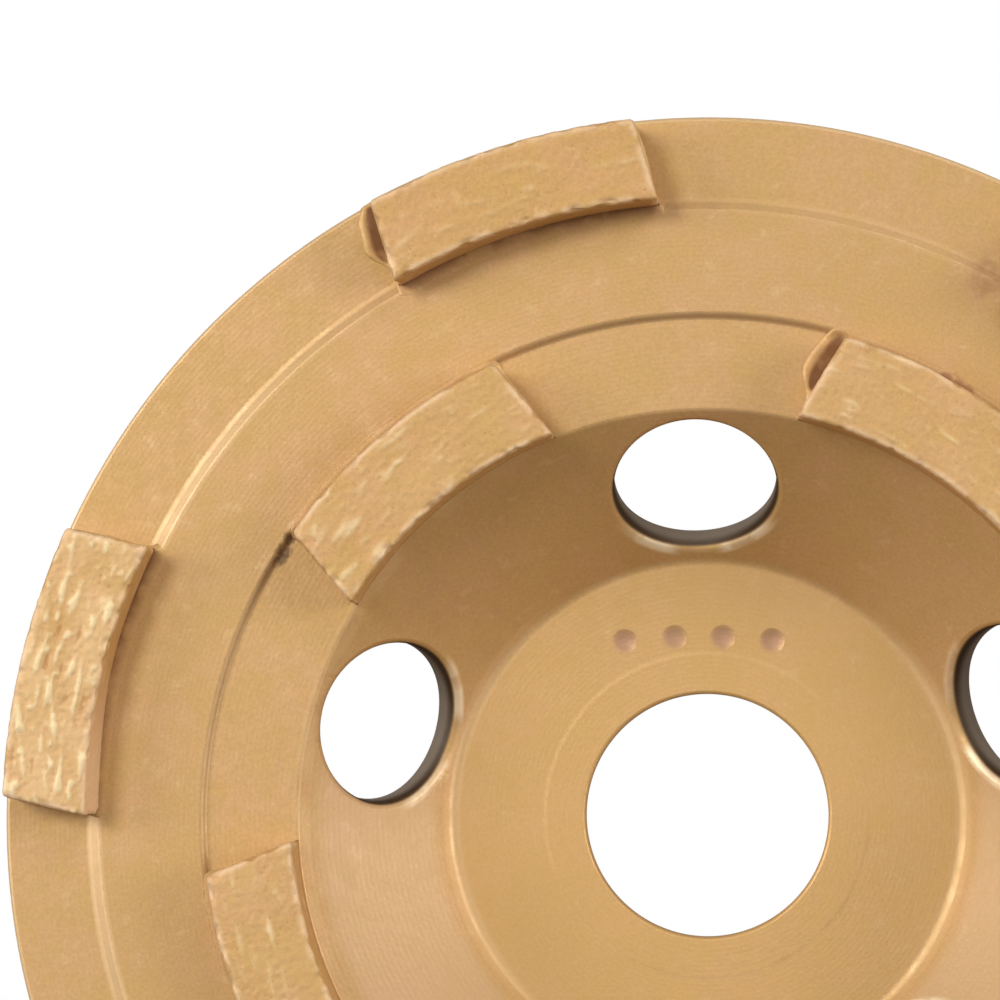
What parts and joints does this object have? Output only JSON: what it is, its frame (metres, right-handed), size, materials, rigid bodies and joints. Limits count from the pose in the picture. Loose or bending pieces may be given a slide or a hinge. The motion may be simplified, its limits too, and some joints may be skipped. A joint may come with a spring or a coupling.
{
  "type": "diamond cup wheel",
  "caption": "Double row diamond cup wheel: a shallow steel cup with a flat hub, round holes in its cone wall and rings of brazed arc segments on its rim.",
  "frame": {"origin": "centre of the hub's back face, on the wheel's axis", "axes": "+Z along the axis to the grinding side, +Y to the top of the picture, +X to its right"},
  "size_m": [0.125, 0.125, 0.0204],
  "materials": {
    "gold_paint": "satin metallic gold paint",
    "sintered_bond": "rough sintered metal with diamond grit under thin gold paint"
  },
  "bodies": {
    "root": {"wheel_body": "gold_paint", "outer_segment_1": "sintered_bond", "outer_segment_2": "sintered_bond", "outer_segment_3": "sintered_bond", "outer_segment_4": "sintered_bond", "outer_segment_5": "sintered_bond", "outer_segment_6": "sintered_bond", "inner_segment_1": "sintered_bond", "inner_segment_2": "sintered_bond", "inner_segment_3": "sintered_bond", "inner_segment_4": "sintered_bond", "inner_segment_5": "sintered_bond"}
  },
  "joints": []
}
